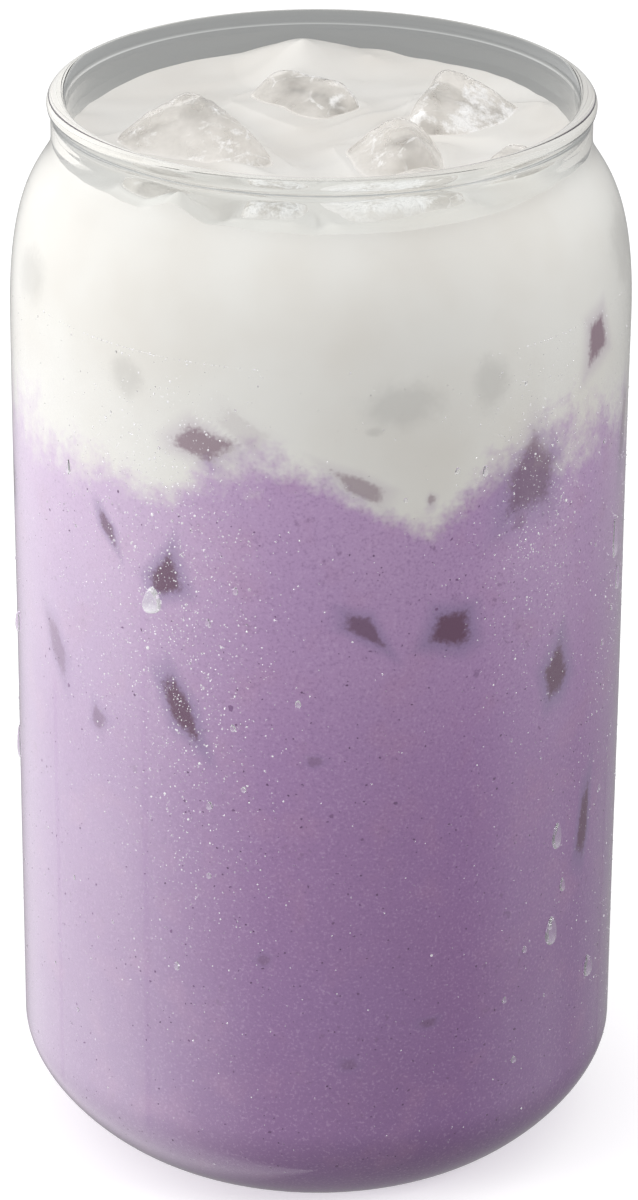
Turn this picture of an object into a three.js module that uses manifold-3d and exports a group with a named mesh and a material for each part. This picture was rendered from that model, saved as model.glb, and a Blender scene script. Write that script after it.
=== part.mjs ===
// An iced taro milk drink in a can-shaped glass: a clear glass with a rolled rim, a lilac taro layer,
// a white milk layer that sinks into it in tongues, and ice cubes that break the surface of the milk.
// Millimetres, +Z up, the origin at the centre of the glass's foot, and -Y towards the viewer.
import * as THREE from "three";
import { RoundedBoxGeometry } from "three/addons/geometries/RoundedBoxGeometry.js";
import { mergeVertices } from "three/addons/utils/BufferGeometryUtils.js";
import Module from "manifold-3d";

const wasm = await Module();
wasm.setup();

// The glass
const GLASS_HEIGHT = 137.5;
const BODY_RADIUS = 38;
const RIM_RADIUS = 33.1; // outside of the rolled rim
const RIM_THICKNESS = 2.3; // of the round bead that ends the wall
const NECK_RADIUS = 32.65; // outside of the wall, just under the bead
const FOOT_RADIUS = 26.5;
const FOOT_WIDTH = 4; // the flat ring that the glass stands on
const FOOT_RECESS = 1.2; // how far the underside rises within that ring
const WALL = 2.2;
const BASE_THICKNESS = 3; // from the foot ring up to the drink
const HEEL_HEIGHT = 13.2; // where the rounded heel ends and the straight wall begins
const HEEL_PULL = { out: 0.28, low: 0.015, up: 0.6 }; // the heel curve's handles, as shares of its size
const INNER_HEEL = { lift: 0.8, inset: 1 }; // the inside heel ends higher and nearer the axis
const INNER_HEEL_PULL = { out: 0.36, up: 0.5 };
const SHOULDER_START = 109.5;
const SHOULDER_END = 132.3;
const SHOULDER_PULL = { low: 0.85, high: 0.23 }; // the shoulder curve's handles, as shares of its height

// The drink
const CLEARANCE = 0.3; // between pieces that touch
const TARO_LEVEL = 101; // where the layers meet, before the tongues
const MILK_LEVEL = 130.8; // at the glass's axis
const MILK_RISE = 0.04; // the milk stands higher behind, where the ice pushes it up: mm for each mm of depth
const MENISCUS = { height: 0.7, width: 2.5 };

// How finely the round pieces are divided. Rings of a layer stand at shares of the way up its wall,
// or of the way out from the axis.
const SEGMENTS = 48;
const CURVE_STEPS = 6;
const TARO_WALL_RINGS = [0.004, 0.015, 0.035, 0.07, 0.11, 0.4, 0.7, 0.9];
const TARO_DISC_RINGS = [0, 0.3, 0.6, 0.85, 1];
const MILK_WALL_RINGS = [0.3, 0.5, 0.65, 0.78, 0.88, 0.95];
const MILK_DISC_RINGS = [0, 0.2, 0.38, 0.55, 0.7, 0.82, 0.92, 1];
const SETTLING_PASSES = 4;
const MERGE_DISTANCE = 1e-3;

// The milk hangs into the taro in tongues, and the taro wells up between them.
// Each has the angle round the glass from the front, in degrees, its half width and its rise.
const TONGUES = [
  { angle: -62, width: 20, rise: -1.5 },
  { angle: -31, width: 7, rise: -3.2 },
  { angle: -16, width: 9, rise: 3.4 },
  { angle: 20, width: 8, rise: -6.4 },
  { angle: 46, width: 16, rise: 2 },
  { angle: 98, width: 14, rise: -4 },
  { angle: 138, width: 18, rise: 3 },
  { angle: 180, width: 16, rise: -5 },
  { angle: -142, width: 14, rise: 2.5 },
  { angle: -106, width: 13, rise: -4.5 },
];

// Milk that clings to ice just under the surface stands up in peaks.
const PEAK_SHARPNESS = 1.4;
const PEAKS = [
  { at: [-2.3, 25], height: 4, width: 9 },
  { at: [-16, -24.3], height: 3, width: 5 },
  { at: [6, 26], height: 1.4, width: 5 },
];

// Ice cubes: width, depth and height, the place of each, the height of its highest point,
// and its tilt in degrees.
const ICE = [
  { name: "ice_left", size: [22, 16, 13], at: [-14.4, -4.4], top: 136.4, tilt: [32, -16, -53] },
  { name: "ice_back", size: [14, 14, 13], at: [-2.8, 11.2], top: 135.2, tilt: [22, -21, -41] },
  { name: "ice_right_back", size: [15, 13, 15], at: [16.6, 7.4], top: 136.4, tilt: [20, 24, -18] },
  { name: "ice_right_front", size: [14.5, 12, 13], at: [8.6, -7.6], top: 135.7, tilt: [12, -36, 8] },
  { name: "ice_left_front", size: [8, 6, 8], at: [-19.1, -18.2], top: 133, tilt: [6, 10, -48] },
  { name: "ice_front", size: [8.4, 7, 10], at: [-5.6, -24.6], top: 132.4, tilt: [4, 6, -10] },
  { name: "ice_front_right", size: [18, 10.5, 13], at: [8.2, -20.8], top: 133.6, tilt: [8, -6, 22] },
  { name: "ice_right", size: [7.2, 6.6, 9], at: [23, -10], top: 133.4, tilt: [6, 8, 64] },
];
const ICE_ROUNDING = 0.26; // of the shortest side
const ICE_ROUNDING_STEPS = 2;
const ICE_MELT = 0.055; // how far melting has dented the faces, as a share of their distance from the middle
const MELT_TURN = [0.42, 0.37, 0.31]; // of the melting waves along x, y and z, in radians for each mm
const MELT_SHIFT = [1.7, 2.3, -0.9]; // of the waves from cube to cube, in radians

// Outside of the glass, from the middle of the underside up to where the rim's bead begins.
function outsideSection() {
  const path = new THREE.Path();
  path.moveTo(0, FOOT_RECESS);
  path.lineTo(FOOT_RADIUS - FOOT_WIDTH - FOOT_RECESS, FOOT_RECESS);
  path.lineTo(FOOT_RADIUS - FOOT_WIDTH, 0);
  path.lineTo(FOOT_RADIUS, 0);
  path.bezierCurveTo(
    FOOT_RADIUS + HEEL_PULL.out * (BODY_RADIUS - FOOT_RADIUS), HEEL_PULL.low * HEEL_HEIGHT,
    BODY_RADIUS, HEEL_PULL.up * HEEL_HEIGHT,
    BODY_RADIUS, HEEL_HEIGHT,
  );
  path.lineTo(BODY_RADIUS, SHOULDER_START);
  const rise = SHOULDER_END - SHOULDER_START;
  path.bezierCurveTo(
    BODY_RADIUS, SHOULDER_START + SHOULDER_PULL.low * rise,
    NECK_RADIUS, SHOULDER_END - SHOULDER_PULL.high * rise,
    NECK_RADIUS, SHOULDER_END,
  );
  return path.getPoints(CURVE_STEPS);
}

// The round bead of the rim, from the neck's outside over the top to the inside.
function rimSection() {
  const radius = RIM_THICKNESS / 2;
  const centre = RIM_RADIUS - radius;
  const start = -Math.acos((NECK_RADIUS - centre) / radius);
  const path = new THREE.Path();
  path.absarc(centre, GLASS_HEIGHT - radius, radius, start, Math.PI, false);
  return path.getPoints(CURVE_STEPS);
}

// Inside of the glass, from the neck down to the middle of its floor.
function insideSection() {
  const radius = BODY_RADIUS - WALL;
  const heelTop = HEEL_HEIGHT + INNER_HEEL.lift;
  const floorRadius = FOOT_RADIUS - INNER_HEEL.inset;
  const rise = SHOULDER_END - SHOULDER_START;
  const path = new THREE.Path();
  path.moveTo(NECK_RADIUS - WALL, SHOULDER_END);
  path.bezierCurveTo(
    NECK_RADIUS - WALL, SHOULDER_END - SHOULDER_PULL.high * rise,
    radius, SHOULDER_START + SHOULDER_PULL.low * rise,
    radius, SHOULDER_START,
  );
  path.lineTo(radius, heelTop);
  path.bezierCurveTo(
    radius, BASE_THICKNESS + INNER_HEEL_PULL.up * (heelTop - BASE_THICKNESS),
    floorRadius + INNER_HEEL_PULL.out * (radius - floorRadius), BASE_THICKNESS,
    floorRadius, BASE_THICKNESS,
  );
  path.lineTo(0, BASE_THICKNESS);
  return path.getPoints(CURVE_STEPS);
}

// Radius of the inside wall at a height, read along its section.
function insideRadius(section, z) {
  if (z >= section[0].y) return section[0].x;
  const i = section.findIndex((p) => p.y <= z);
  const [high, low] = [section[i - 1], section[i]];
  return THREE.MathUtils.mapLinear(z, low.y, high.y, low.x, high.x);
}

// A surface turned about the Z axis. LatheGeometry turns about Y, so the result is stood up.
function turned(points) {
  return new THREE.LatheGeometry(points, SEGMENTS).rotateX(Math.PI / 2);
}

function bell(distance, width) {
  return Math.exp(-0.5 * (distance / width) ** 2);
}

// Height of the face between the layers. The tongues run out towards the axis.
function layerHeight(x, y) {
  const angle = THREE.MathUtils.radToDeg(Math.atan2(x, -y));
  const outward = (Math.hypot(x, y) / (BODY_RADIUS - WALL)) ** 2;
  let height = TARO_LEVEL;
  for (const tongue of TONGUES) {
    const apart = Math.abs(THREE.MathUtils.euclideanModulo(angle - tongue.angle + 180, 360) - 180);
    height += outward * tongue.rise * bell(apart, tongue.width);
  }
  return height;
}

// Height of the milk's surface: a slight slope, a meniscus at the wall, and the peaks.
function milkHeight(x, y) {
  const fromWall = NECK_RADIUS - WALL - Math.hypot(x, y);
  let height = MILK_LEVEL + MILK_RISE * y + MENISCUS.height * bell(fromWall, MENISCUS.width);
  for (const { at, height: peak, width } of PEAKS) {
    const near = Math.max(0, 1 - Math.hypot(x - at[0], y - at[1]) / width);
    height += peak * near ** PEAK_SHARPNESS;
  }
  return height;
}

// A layer of drink that fills the glass between two heights, each a function of x and y.
// Rings of vertices run over the floor, up the wall and back over the top; each finds its own place.
function drinkLayer(section, floorHeight, topHeight, wallShares, discShares) {
  const rings = [
    ...discShares.map((share) => ({ share, rise: 0 })),
    ...wallShares.map((rise) => ({ share: 1, rise })),
    ...discShares.toReversed().map((share) => ({ share, rise: 1 })),
  ];
  const geometry = turned(rings.map(({ share, rise }) => new THREE.Vector2(share, rise)));
  const position = geometry.getAttribute("position");
  for (let i = 0; i < position.count; i++) {
    const rise = position.getZ(i);
    const [ux, uy] = [position.getX(i), position.getY(i)];
    // The wall's radius depends on the height and the height on the place: the two are settled in turn.
    let radius = BODY_RADIUS - WALL;
    let z = 0;
    for (let pass = 0; pass < SETTLING_PASSES; pass++) {
      const [x, y] = [ux * radius, uy * radius];
      z = THREE.MathUtils.lerp(floorHeight(x, y), topHeight(x, y), rise);
      radius = insideRadius(section, z) - CLEARANCE;
    }
    position.setXYZ(i, ux * radius, uy * radius, z);
  }
  return geometry;
}

// A melted cube: a rounded box whose faces are dented by slow waves that differ from cube to cube.
function iceGeometry(size, seed) {
  const rounding = ICE_ROUNDING * Math.min(...size);
  const geometry = new RoundedBoxGeometry(...size, ICE_ROUNDING_STEPS, rounding);
  const position = geometry.getAttribute("position");
  const point = new THREE.Vector3();
  for (let i = 0; i < position.count; i++) {
    point.fromBufferAttribute(position, i);
    const [x, y, z] = point.toArray().map((v, k) => Math.sin(MELT_TURN[k] * v + MELT_SHIFT[k] * seed));
    const wave = x * y + z;
    point.multiplyScalar(1 - (ICE_MELT * (1 + wave)) / 2);
    position.setXYZ(i, point.x, point.y, point.z);
  }
  return geometry;
}

// Places a cube by its tilt, its middle in plan and the height of its highest point.
function placeIce(mesh, { at, top, tilt }) {
  mesh.rotation.set(...tilt.map(THREE.MathUtils.degToRad));
  mesh.position.set(at[0], at[1], 0);
  mesh.updateMatrixWorld(true);
  const highest = new THREE.Box3().setFromObject(mesh, true).max.z;
  mesh.position.z = top - highest;
  mesh.updateMatrixWorld(true);
}

function solidOf(geometry, matrix = new THREE.Matrix4()) {
  const bare = new THREE.BufferGeometry();
  bare.setAttribute("position", geometry.getAttribute("position").clone());
  if (geometry.index) bare.setIndex(geometry.index.clone());
  const merged = mergeVertices(bare.applyMatrix4(matrix), MERGE_DISTANCE);
  return new wasm.Manifold(
    new wasm.Mesh({
      numProp: 3,
      vertProperties: merged.getAttribute("position").array,
      triVerts: new Uint32Array(merged.index.array),
    }),
  );
}

function geometryOf(solid) {
  const { vertProperties, triVerts } = solid.getMesh();
  const geometry = new THREE.BufferGeometry();
  geometry.setAttribute("position", new THREE.BufferAttribute(vertProperties, 3));
  geometry.setIndex(new THREE.BufferAttribute(triVerts, 1));
  geometry.computeVertexNormals();
  return geometry;
}

// Cuts a pocket for each ice cube, larger than the cube by the clearance on every side.
function cutPockets(geometry, cubes) {
  let solid = solidOf(geometry);
  for (const cube of cubes) {
    const { width, height, depth } = cube.geometry.parameters;
    const grown = new THREE.Matrix4().makeScale(
      ...[width, height, depth].map((side) => 1 + (2 * CLEARANCE) / side),
    );
    solid = solid.subtract(solidOf(cube.geometry, grown.premultiply(cube.matrixWorld)));
  }
  return geometryOf(solid);
}

function named(name, geometry, material) {
  const mesh = new THREE.Mesh(geometry, material);
  mesh.name = name;
  return mesh;
}

const clearGlass = new THREE.MeshStandardMaterial({
  color: 0xf2f5f4, roughness: 0.03, metalness: 0, transparent: true, opacity: 0.3,
});
const lilacTaro = new THREE.MeshStandardMaterial({ color: 0xa98bb8, roughness: 0.35, metalness: 0 });
const whiteMilk = new THREE.MeshStandardMaterial({ color: 0xf1efec, roughness: 0.3, metalness: 0 });
const clearIce = new THREE.MeshStandardMaterial({
  color: 0xe9e6e2, roughness: 0.08, metalness: 0, transparent: true, opacity: 0.5,
});

const inside = insideSection();
const glass = named("glass", turned([...outsideSection(), ...rimSection(), ...inside]), clearGlass);

const ice = new THREE.Group();
for (const [i, cube] of ICE.entries()) {
  const mesh = named(cube.name, iceGeometry(cube.size, i + 1), clearIce);
  placeIce(mesh, cube);
  ice.add(mesh);
}

const floorLevel = BASE_THICKNESS + CLEARANCE;
const taro = named(
  "taro",
  drinkLayer(
    inside,
    () => floorLevel,
    (x, y) => layerHeight(x, y) - CLEARANCE / 2,
    TARO_WALL_RINGS,
    TARO_DISC_RINGS,
  ),
  lilacTaro,
);
const milk = named(
  "milk",
  cutPockets(
    drinkLayer(
      inside,
      (x, y) => layerHeight(x, y) + CLEARANCE / 2,
      milkHeight,
      MILK_WALL_RINGS,
      MILK_DISC_RINGS,
    ),
    ice.children,
  ),
  whiteMilk,
);

const drink = new THREE.Group();
drink.add(glass, taro, milk, ice);

export default drink;
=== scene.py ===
import bpy
import numpy as np
from mathutils import Matrix, Vector


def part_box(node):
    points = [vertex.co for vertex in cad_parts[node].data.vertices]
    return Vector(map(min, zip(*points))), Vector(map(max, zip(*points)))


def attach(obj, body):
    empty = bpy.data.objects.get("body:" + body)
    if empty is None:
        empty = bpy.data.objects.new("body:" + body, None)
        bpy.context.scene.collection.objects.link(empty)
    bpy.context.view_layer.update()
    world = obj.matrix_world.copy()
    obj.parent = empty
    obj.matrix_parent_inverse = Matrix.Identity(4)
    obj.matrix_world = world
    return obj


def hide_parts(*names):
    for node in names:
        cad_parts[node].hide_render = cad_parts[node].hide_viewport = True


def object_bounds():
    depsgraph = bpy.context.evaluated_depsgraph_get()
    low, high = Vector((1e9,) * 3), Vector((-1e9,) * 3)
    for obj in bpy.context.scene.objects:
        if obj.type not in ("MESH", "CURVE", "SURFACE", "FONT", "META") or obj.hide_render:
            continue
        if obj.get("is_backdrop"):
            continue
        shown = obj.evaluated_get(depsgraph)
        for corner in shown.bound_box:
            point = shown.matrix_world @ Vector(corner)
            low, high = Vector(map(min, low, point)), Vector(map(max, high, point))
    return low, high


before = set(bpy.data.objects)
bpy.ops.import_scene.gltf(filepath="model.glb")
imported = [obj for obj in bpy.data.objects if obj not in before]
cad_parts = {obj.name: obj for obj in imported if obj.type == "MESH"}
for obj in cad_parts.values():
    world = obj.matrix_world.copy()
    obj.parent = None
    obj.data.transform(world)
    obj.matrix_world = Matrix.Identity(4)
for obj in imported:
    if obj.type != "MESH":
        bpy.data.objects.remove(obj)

cad_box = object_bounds()


# The glass: one piece of clear soda-lime glass, blown in a mould to the shape of a drinks can.
# It stands on a flat foot ring, and its cut lip was melted back into a round bead.
# The cold drink fogs its outside with dew, in which running drops have cleared upright tracks.
MM = 0.001
glass_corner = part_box("glass")[1] / MM
BODY_RADIUS = glass_corner.x
GLASS_HEIGHT = glass_corner.z
WALL = 2.2
BASE_THICKNESS = 3.0
FOOT_RADIUS = 26.5
FOOT_WIDTH = 4.0
FOOT_RECESS = 1.2
HEEL_HEIGHT = 13.2
HEEL_PULL_OUT, HEEL_PULL_LOW, HEEL_PULL_UP = 0.28, 0.015, 0.6  # the heel curve's handles, as shares
INNER_HEEL_LIFT, INNER_HEEL_INSET = 0.8, 1.0
INNER_PULL_OUT, INNER_PULL_UP = 0.36, 0.5
SHOULDER_START = 109.5
SHOULDER_END = 132.3
SHOULDER_PULL_LOW, SHOULDER_PULL_HIGH = 0.85, 0.23
NECK_RADIUS = 32.65
RIM_RADIUS = 33.1
RIM_THICKNESS = 2.3
WALL_WAVE = 0.025  # unevenness of the outside, as waves
WAVES = [(3, 0.07, 0), (5, -0.11, 1)]  # turns round the glass, climb and start of each wave
WAVE_FADE = 20.0  # the heel and the neck are even
GLASS_STEPS = 288  # around the glass
# How white the dew is by the angle round the glass, in degrees from the front towards the right.
# Partly real dew and partly painted reflection: the whiter bands on the left and on the right stand in for
# reflections of the light.
DEW_AND_REFLECTION_ANGLES = [-180, -120, -66, -40, -23, -10, 28, 40, 50, 58, 75, 120, 180]
DEW_AND_REFLECTION_SHARES = [0.08, 0.1, 0.1, 0.07, 0.05, 0.02, 0.01, 0.07, 0.08, 0.03, 0.1, 0.1, 0.08]
FOG_LOW, FOG_HIGH = 6.0, 118.0
FOG_LOW_FADE, FOG_HIGH_FADE = 8.0, 12.0
FOG_BEAD, FOG_BEAD_SHARE = 0.55, 0.9  # size of the unevenness, and its strength
FOG_PATCH, FOG_PATCH_SHARE = 9.0, 0.5
# Angle and upper end of each track that a running drop has cleared.
TRACKS = [(-33.3, 86), (-58, 70), (71, 60), (112, 92), (165, 74), (-140, 81), (-97, 95)]
TRACK_CLEAR, TRACK_EDGE = 0.35, 0.95  # degrees aside, where it is clear and where it ends
TRACK_SWAY, TRACK_SWAY_LENGTH = 1.2, 30.0
TRACK_FADE = 3.0
TRACK_DRY = 0.7  # share of the fog that it has taken


def straight(start, end, count):
    """Points on a line, evenly spaced, without its end."""
    return np.linspace(start, end, count, endpoint=False)


def bezier(start, pull_start, pull_end, end, count):
    """Points on a cubic curve, without its end: the four corners, each weighted by its Bernstein term."""
    t = np.linspace(0, 1, count, endpoint=False)[:, None]
    corners = [np.array(p, float) for p in (start, pull_start, pull_end, end)]
    terms = [(1 - t) ** 3, 3 * t * (1 - t) ** 2, 3 * t**2 * (1 - t), t**3]
    return sum(term * corner for term, corner in zip(terms, corners))


def outside_outline():
    """Radius and height along the outside: underside, foot ring, heel, wall, shoulder and neck."""
    rise = SHOULDER_END - SHOULDER_START
    ring = FOOT_RADIUS - FOOT_WIDTH
    heel_out = FOOT_RADIUS + HEEL_PULL_OUT * (BODY_RADIUS - FOOT_RADIUS)
    return np.vstack([
        straight((0, FOOT_RECESS), (ring - 2 * FOOT_RECESS, FOOT_RECESS), 8),
        bezier((ring - 2 * FOOT_RECESS, FOOT_RECESS), (ring - FOOT_RECESS, FOOT_RECESS),
               (ring - FOOT_RECESS, 0), (ring, 0), 8),
        straight((ring, 0), (FOOT_RADIUS, 0), 4),
        bezier((FOOT_RADIUS, 0), (heel_out, HEEL_PULL_LOW * HEEL_HEIGHT),
               (BODY_RADIUS, HEEL_PULL_UP * HEEL_HEIGHT), (BODY_RADIUS, HEEL_HEIGHT), 24),
        straight((BODY_RADIUS, HEEL_HEIGHT), (BODY_RADIUS, SHOULDER_START), 48),
        bezier((BODY_RADIUS, SHOULDER_START), (BODY_RADIUS, SHOULDER_START + SHOULDER_PULL_LOW * rise),
               (NECK_RADIUS, SHOULDER_END - SHOULDER_PULL_HIGH * rise), (NECK_RADIUS, SHOULDER_END), 36),
        straight((NECK_RADIUS, SHOULDER_END), (NECK_RADIUS, GLASS_HEIGHT - RIM_THICKNESS), 4),
    ])


def rim_outline():
    """Radius and height round the bead: an arc from the neck's outside over the top to the inside."""
    radius = RIM_THICKNESS / 2
    centre = RIM_RADIUS - radius
    first = -np.arccos((NECK_RADIUS - centre) / radius)
    angle = np.linspace(first, np.pi, 32, endpoint=False)
    height = GLASS_HEIGHT - radius + radius * np.sin(angle)
    return np.stack([centre + radius * np.cos(angle), height], axis=1)


def inside_outline():
    """Radius and height along the inside: neck, shoulder, wall, heel and floor."""
    rise = SHOULDER_END - SHOULDER_START
    radius = BODY_RADIUS - WALL
    neck = NECK_RADIUS - WALL
    heel_top = HEEL_HEIGHT + INNER_HEEL_LIFT
    floor_radius = FOOT_RADIUS - INNER_HEEL_INSET
    rim_inside = (RIM_RADIUS - RIM_THICKNESS, GLASS_HEIGHT - RIM_THICKNESS / 2)
    return np.vstack([
        straight(rim_inside, (neck, SHOULDER_END), 6),
        bezier((neck, SHOULDER_END), (neck, SHOULDER_END - SHOULDER_PULL_HIGH * rise),
               (radius, SHOULDER_START + SHOULDER_PULL_LOW * rise), (radius, SHOULDER_START), 36),
        straight((radius, SHOULDER_START), (radius, heel_top), 24),
        bezier((radius, heel_top), (radius, BASE_THICKNESS + INNER_PULL_UP * (heel_top - BASE_THICKNESS)),
               (floor_radius + INNER_PULL_OUT * (radius - floor_radius), BASE_THICKNESS),
               (floor_radius, BASE_THICKNESS), 24),
        straight((floor_radius, BASE_THICKNESS), (0, BASE_THICKNESS), 8),
        [(0, BASE_THICKNESS)],
    ])


def around(count):
    """Angles all round from the front towards the right, evenly spaced, in radians."""
    return np.linspace(0, 2 * np.pi, count, endpoint=False)


def swept(radius, height, angle):
    """Points at a radius, a height and an angle about the Z axis, where the angle 0 faces the front."""
    radius, height, angle = np.broadcast_arrays(radius, height, angle)
    return np.stack([radius * np.sin(angle), -radius * np.cos(angle), height], axis=-1)


def angle_from(degrees, points):
    """Degrees round the glass from an angle, from -180 to 180."""
    return (np.degrees(np.arctan2(points[..., 0], -points[..., 1])) - degrees + 180) % 360 - 180


def piece_from(name, points, *face_groups):
    """An object of points in millimetres and groups of faces, each row the numbers of a face's points."""
    mesh = bpy.data.meshes.new(name)
    faces = [face for group in face_groups for face in group.tolist()]
    mesh.from_pydata((points * MM).tolist(), [], faces)
    mesh.shade_smooth()
    piece = bpy.data.objects.new(name, mesh)
    bpy.context.collection.objects.link(piece)
    return piece


def ring_faces(rings, steps):
    """Faces between rings that each close on themselves, with a pole before the first and after the last."""
    ring, step = np.meshgrid(np.arange(rings - 1), np.arange(steps), indexing="ij")
    here = ring * steps + step
    beside = ring * steps + (step + 1) % steps
    quads = np.stack([here, beside, beside + steps, here + steps], axis=-1).reshape(-1, 4)
    first = np.arange(steps)
    second = (first + 1) % steps
    top = (rings - 1) * steps
    south = np.full(steps, rings * steps)
    low_fan = np.stack([south, second, first], axis=-1)
    high_fan = np.stack([top + first, top + second, south + 1], axis=-1)
    return quads, low_fan, high_fan


def ring_points(grid):
    """Points for ring_faces: the rings between the first and the last, which are drawn together to poles."""
    poles = grid[..., [0, -1], :, :].mean(axis=-2)
    rings = grid[..., 1:-1, :, :]
    return np.concatenate([rings.reshape(*rings.shape[:-3], -1, 3), poles], axis=-2)


def closed_rings(name, grid):
    """A closed piece of rings, grid[ring, step], from the pole of its underside to the other pole."""
    return piece_from(name, ring_points(grid), *ring_faces(len(grid) - 2, grid.shape[1]))


def paint(piece, name, values):
    """A number for each point of a piece, for its finish to read."""
    piece.data.attributes.new(name, "FLOAT", "POINT").data.foreach_set("value", values.astype(np.float32))


def points_of(piece):
    """The points of a piece, in millimetres."""
    points = np.empty(3 * len(piece.data.vertices), np.float32)
    piece.data.vertices.foreach_get("co", points)
    return points.reshape(-1, 3).astype(float) / MM


class Wire:
    """One output of a node. Arithmetic on wires and numbers adds Math nodes to their tree."""

    def __init__(self, socket):
        self.socket = socket

    @classmethod
    def node(cls, tree, kind, settings=(), sockets=(), output=0):
        """Adds a node: its settings first, then a value or a wire in each named socket. Gives one output."""
        node = tree.nodes.new(kind)
        for name, value in dict(settings).items():
            setattr(node, name, value)
        for name, value in dict(sockets).items():
            if isinstance(value, cls):
                tree.links.new(value.socket, node.inputs[name])
            else:
                node.inputs[name].default_value = value
        return cls(node.outputs[output]) if node.outputs else None

    def math(self, operation, *terms):
        return Wire.node(self.socket.id_data, "ShaderNodeMath", {"operation": operation}, enumerate(terms))

    def __add__(self, other):
        return self.math("ADD", self, other)

    def __sub__(self, other):
        return self.math("SUBTRACT", self, other)

    def __rsub__(self, other):
        return self.math("SUBTRACT", other, self)

    def __mul__(self, other):
        return self.math("MULTIPLY", self, other)

    def __neg__(self):
        return self * -1

    def __abs__(self):
        return self.math("ABSOLUTE", self)

    __radd__ = __add__
    __rmul__ = __mul__

    def clamped(self):
        return Wire.node(self.socket.id_data, "ShaderNodeClamp", {}, {"Value": self})

    def step(self, low, high):
        """0 below low, 1 above high, and a smooth rise between; the other way round if low is the higher."""
        sockets = {"Value": self, "From Min": low, "From Max": high}
        settings = {"interpolation_type": "SMOOTHSTEP"}
        return Wire.node(self.socket.id_data, "ShaderNodeMapRange", settings, sockets)

    def part(self, axis):
        """The X, Y or Z of a vector."""
        return Wire.node(self.socket.id_data, "ShaderNodeSeparateXYZ", {}, {0: self}, axis)


def linear(red, green, blue):
    """A colour as it shows on a screen, 0 to 255, turned into the linear values that light adds up in."""
    shown = np.array([red, green, blue]) / 255
    light = np.where(shown <= 0.04045, shown / 12.92, ((shown + 0.055) / 1.055) ** 2.4)
    return (*light.tolist(), 1.0)


def mixed(tree, share, first, second):
    """A colour between two, by a share from 0 to 1."""
    sockets = {0: share, 6: first, 7: second}
    return Wire.node(tree, "ShaderNodeMix", {"data_type": "RGBA"}, sockets, 2)


def noise(tree, place, size, detail=2.0, roughness=0.5):
    """Cloudy noise about 0, from -0.5 to 0.5, whose lumps are of a size in millimetres."""
    sockets = {"Vector": place, "Scale": 1 / (size * MM), "Detail": detail, "Roughness": roughness}
    return Wire.node(tree, "ShaderNodeTexNoise", {}, sockets) - 0.5


def painted(tree, attribute):
    """The number that paint has put on each point."""
    return Wire.node(tree, "ShaderNodeAttribute", {"attribute_name": attribute}, {}, "Fac")


def new_finish(name):
    """A material with an empty tree, and the wire of its object coordinates."""
    material = bpy.data.materials.new(name)
    material.use_nodes = True
    tree = material.node_tree
    tree.nodes.clear()
    return material, tree, Wire.node(tree, "ShaderNodeTexCoord", output="Object")


def principled(tree, **sockets):
    """A Principled shader. Its sockets are named with _ for a space."""
    named = {name.replace("_", " "): value for name, value in sockets.items()}
    return Wire.node(tree, "ShaderNodeBsdfPrincipled", {}, named)


def blended(tree, share, first, second):
    """A shader between two, by a share from 0 to 1."""
    return Wire.node(tree, "ShaderNodeMixShader", {}, {0: share, 1: first, 2: second})


def end_finish(tree, shader):
    Wire.node(tree, "ShaderNodeOutputMaterial", {}, {"Surface": shader})


def bumped(tree, height, depth):
    """A normal tilted by a height, whose unit is a depth in millimetres."""
    return Wire.node(tree, "ShaderNodeBump", {}, {"Height": height, "Distance": depth * MM}, "Normal")


def lamps_pass(piece):
    """A clear piece lets light through to what is behind it: lamps and bounces take no notice of it."""
    piece.visible_shadow = False
    piece.visible_diffuse = False


def belongs(piece, slot, *nodes):
    """Every piece rides on the one body, and may stand for solids. Its slot is not used."""
    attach(piece, "root")
    if nodes:
        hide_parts(*nodes)


def degrees_round(place):
    """The angle round the glass from the front, in degrees."""
    return place.math("ARCTAN2", place.part("X"), -place.part("Y")) * (180 / np.pi)


def dewy_glass():
    """Clear glass under a film of dew, as white as its points are painted, in beads too fine to see. That
    white is partly real dew and partly painted reflection, in bands on the left and the right.
    The tracks are nearly clear bands, one millimetre wide, below their upper ends."""
    material, tree, place = new_finish("dewy glass")
    clear = principled(tree, Base_Color=linear(250, 252, 251), Roughness=0.0, IOR=1.5,
                       Transmission_Weight=1.0)
    dew = principled(tree, Base_Color=linear(243, 241, 245), Roughness=0.45, IOR=1.33)
    angle, height = degrees_round(place), place.part("Z")
    track = 0.0
    for track_angle, track_top in TRACKS:
        aside = abs(angle - track_angle + noise(tree, place, TRACK_SWAY_LENGTH) * TRACK_SWAY)
        above = height.step((track_top - TRACK_FADE) * MM, track_top * MM)
        track = track + (1 - aside.step(TRACK_CLEAR, TRACK_EDGE)) * (1 - above)
    beads = noise(tree, place, FOG_BEAD, 1.0) * FOG_BEAD_SHARE
    patches = noise(tree, place, FOG_PATCH, 3.0) * FOG_PATCH_SHARE
    share = painted(tree, "dew_and_reflection") * (1 + beads + patches) * (1 - track.clamped() * TRACK_DRY)
    end_finish(tree, blended(tree, share.clamped(), clear, dew))
    return material


outline = np.vstack([outside_outline(), rim_outline(), inside_outline()])
glass_radius, glass_height = outline[:, :1], outline[:, 1:]
on_outside = np.arange(len(outline))[:, None] < len(outside_outline())
glass_turn = around(GLASS_STEPS)
wave = sum(np.sin(turns * glass_turn + climb * glass_height + start) for turns, climb, start in WAVES)
wave_low = np.clip((glass_height - HEEL_HEIGHT) / WAVE_FADE, 0, 1)
wave_high = np.clip((SHOULDER_END - glass_height) / WAVE_FADE, 0, 1)
uneven = WALL_WAVE * wave * wave_low * wave_high * on_outside
glass_grid = swept(glass_radius + uneven, glass_height, glass_turn)
fog_low = np.clip((glass_height - FOG_LOW) / FOG_LOW_FADE, 0, 1)
fog_high = np.clip((FOG_HIGH - glass_height) / FOG_HIGH_FADE, 0, 1)
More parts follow.
